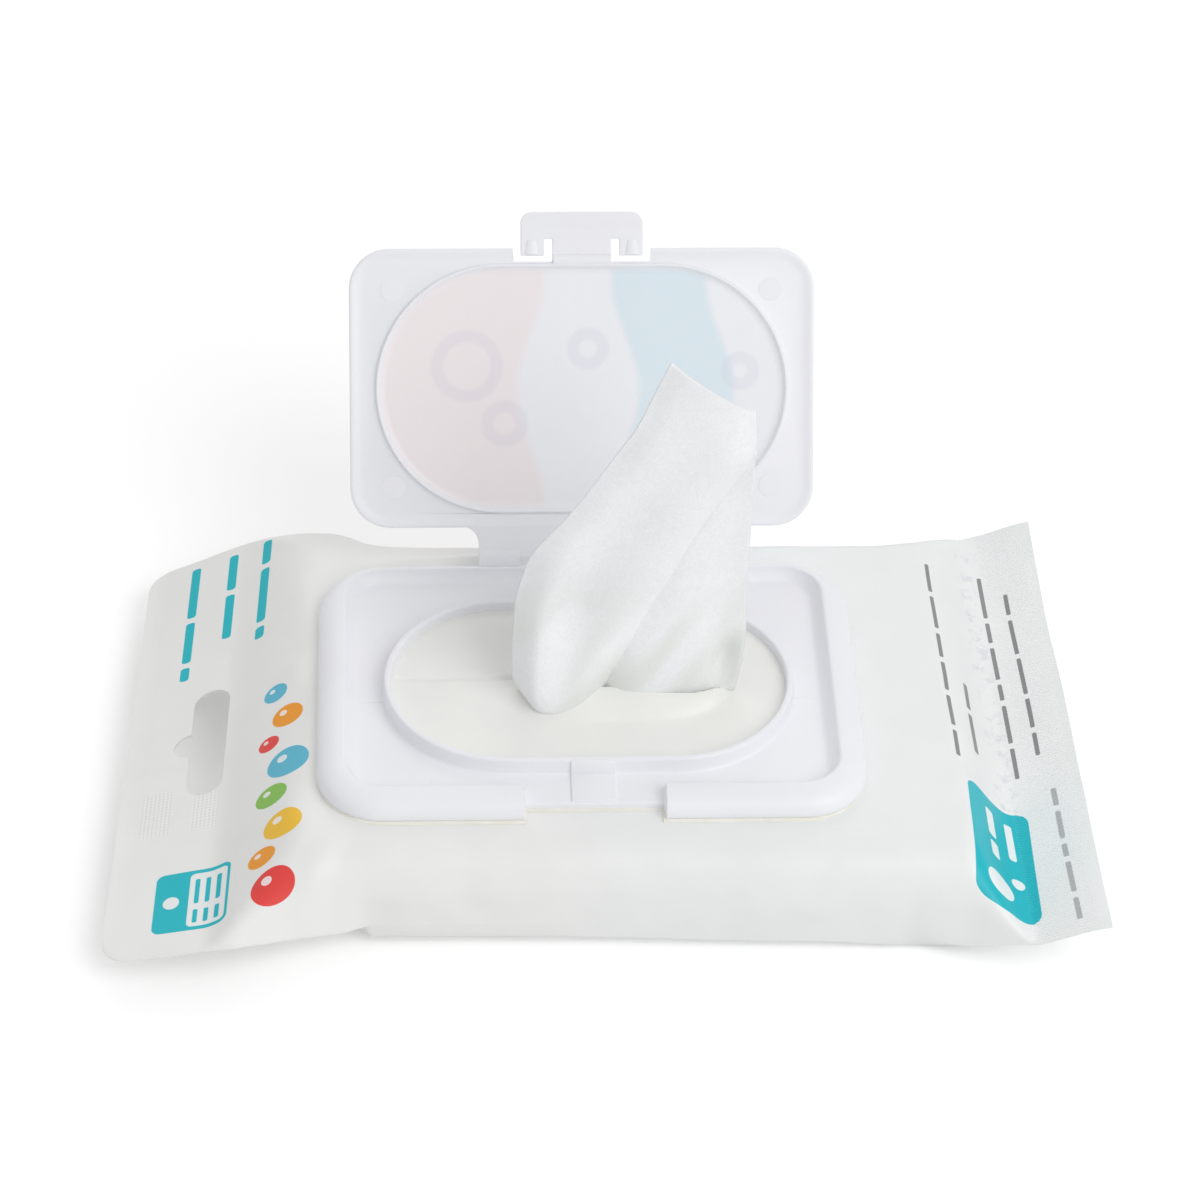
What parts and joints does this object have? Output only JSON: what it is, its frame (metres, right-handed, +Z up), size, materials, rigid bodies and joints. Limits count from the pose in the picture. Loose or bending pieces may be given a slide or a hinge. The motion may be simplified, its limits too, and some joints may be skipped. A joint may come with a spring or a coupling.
{
  "type": "wet wipes pack",
  "caption": "Soft film pouch of wet wipes lying flat, with a hang header and a hinged flip-top lid open over an oval slot, one wipe pulled up through it.",
  "frame": {"origin": "on the pouch's flat underside, below the middle of the lid frame", "axes": "+X along the pouch from the hang header to the crimped end, +Y towards the lid's hinge, +Z up"},
  "size_m": [0.1655, 0.1138, 0.0902],
  "materials": {
    "film": "satin printed laminate film",
    "wipe": "damp non-woven cloth",
    "lid_plastic": "satin moulded polypropylene",
    "adhesive": "cured hot-melt",
    "label": "printed film label"
  },
  "bodies": {
    "pack": {"pouch_film": "film", "wipe_stack": "wipe", "pulled_wipe": "wipe", "adhesive_ring": "adhesive", "lid_frame": "lid_plastic"},
    "lid": {"lid_cover": "lid_plastic", "lid_label": "label"}
  },
  "joints": [
    {"name": "lid_hinge", "type": "hinge", "parent": "pack", "child": "lid", "pos_m": [0, 0.0301, 0.0244], "axis": [-1, 0, 0], "range_deg": [-124, 50], "deforming": ["pulled_wipe"]}
  ]
}
